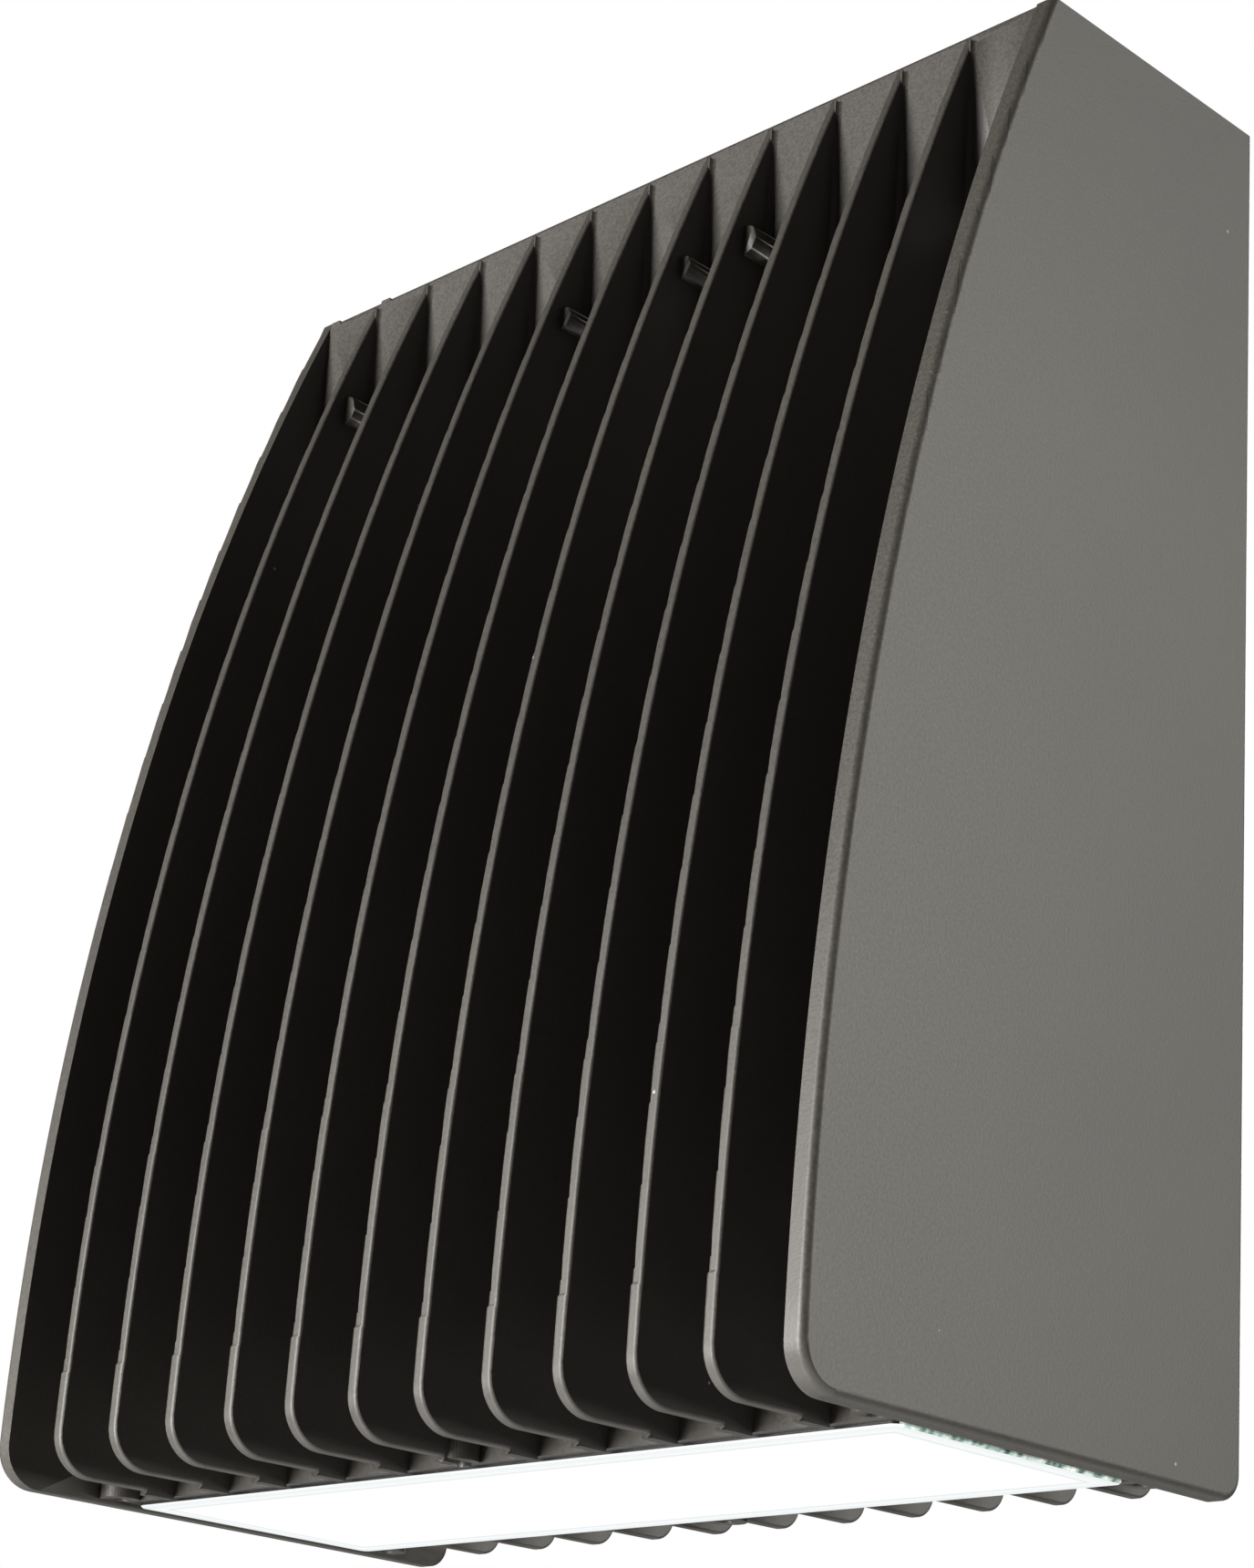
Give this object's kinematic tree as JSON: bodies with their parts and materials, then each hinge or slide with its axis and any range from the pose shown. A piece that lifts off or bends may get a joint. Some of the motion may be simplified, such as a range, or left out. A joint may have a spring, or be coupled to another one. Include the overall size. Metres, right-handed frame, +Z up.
{
  "type": "wall pack light",
  "caption": "Finned, bronze-coloured LED wall pack with a curved front, a glass lens in its underside and a housing that swings open on a wall-mounted back box.",
  "frame": {"origin": "on the wall plane, at the middle of the back box's wall screw pattern", "axes": "+X right as seen from the front, +Y into the wall, +Z up"},
  "size_m": [0.21, 0.1178, 0.2711],
  "materials": {
    "powder_coat": "bronze powder coat on die-cast aluminium, fine orange-peel texture",
    "lens_glass": "tempered clear glass, frosted inside",
    "silicone_black": "silicone adhesive bead",
    "silicone_grey": "silicone foam",
    "foam_black": "closed-cell foam",
    "rubber_black": "moulded rubber",
    "zinc_steel": "zinc plated",
    "stainless_steel": "turned stainless",
    "green_screw": "green dyed zinc",
    "terminal_white": "moulded polyamide",
    "connector_white": "moulded polyamide",
    "clip_black": "moulded polyamide",
    "thermal_pad": "filled silicone",
    "board_white": "white solder mask on aluminium core",
    "board_green": "green solder mask",
    "led_phosphor": "lit phosphor",
    "reflector_aluminium": "bright anodised sheet",
    "driver_aluminium": "mill finish sheet",
    "driver_white": "white enamel",
    "ferrite_black": "ferrite and tape",
    "capacitor_black": "shrink sleeve",
    "wire_red": "insulated wire",
    "wire_black": "insulated wire",
    "wire_white": "insulated wire",
    "wire_green": "insulated wire"
  },
  "bodies": {
    "back_box": {"back_box": "powder_coat", "wall_gasket": "foam_black", "rim_gasket": "silicone_grey", "entry_bushing": "rubber_black", "conduit_plug": "zinc_steel", "hinge_pins": "stainless_steel", "ground_screw": "green_screw", "terminal_block": "terminal_white", "clamp_screws": "zinc_steel", "block_screws": "zinc_steel"},
    "housing": {"finned_housing": "powder_coat", "glass_lens": "lens_glass", "lens_seal": "silicone_black", "thermal_pad": "thermal_pad", "led_board": "board_white", "led_packages": "led_phosphor", "led_board_screws": "stainless_steel", "led_connector": "connector_white", "reflector": "reflector_aluminium", "driver_base": "driver_aluminium", "driver_cover": "driver_white", "driver_standoffs": "driver_aluminium", "driver_board": "board_green", "driver_transformer": "ferrite_black", "driver_capacitors": "capacitor_black", "driver_screws": "zinc_steel", "led_lead_bushing": "rubber_black", "line_lead_bushing": "rubber_black", "led_lead_red": "wire_red", "led_lead_black": "wire_black", "line_lead_black": "wire_black", "line_lead_white": "wire_white", "line_lead_green": "wire_green", "lead_grommet": "rubber_black", "line_plug": "connector_white", "plug_clip": "clip_black", "surge_protector": "capacitor_black", "surge_screws": "zinc_steel"},
    "closing_screw_lower": {"closing_screw_lower": "stainless_steel", "retaining_ring_lower": "zinc_steel"},
    "closing_screw_upper": {"closing_screw_upper": "stainless_steel", "retaining_ring_upper": "zinc_steel"}
  },
  "joints": [
    {"name": "housing_hinge", "type": "hinge", "parent": "back_box", "child": "housing", "pos_m": [-0.0988, -0.009, 0], "axis": [0, 0, -1], "range_deg": [0, 90]},
    {"name": "closing_screw_lower_travel", "type": "slide", "parent": "housing", "child": "closing_screw_lower", "axis": [0, 1, 0], "range_m": [0, 0.008]},
    {"name": "closing_screw_upper_travel", "type": "slide", "parent": "housing", "child": "closing_screw_upper", "axis": [0, 1, 0], "range_m": [0, 0.008]}
  ]
}
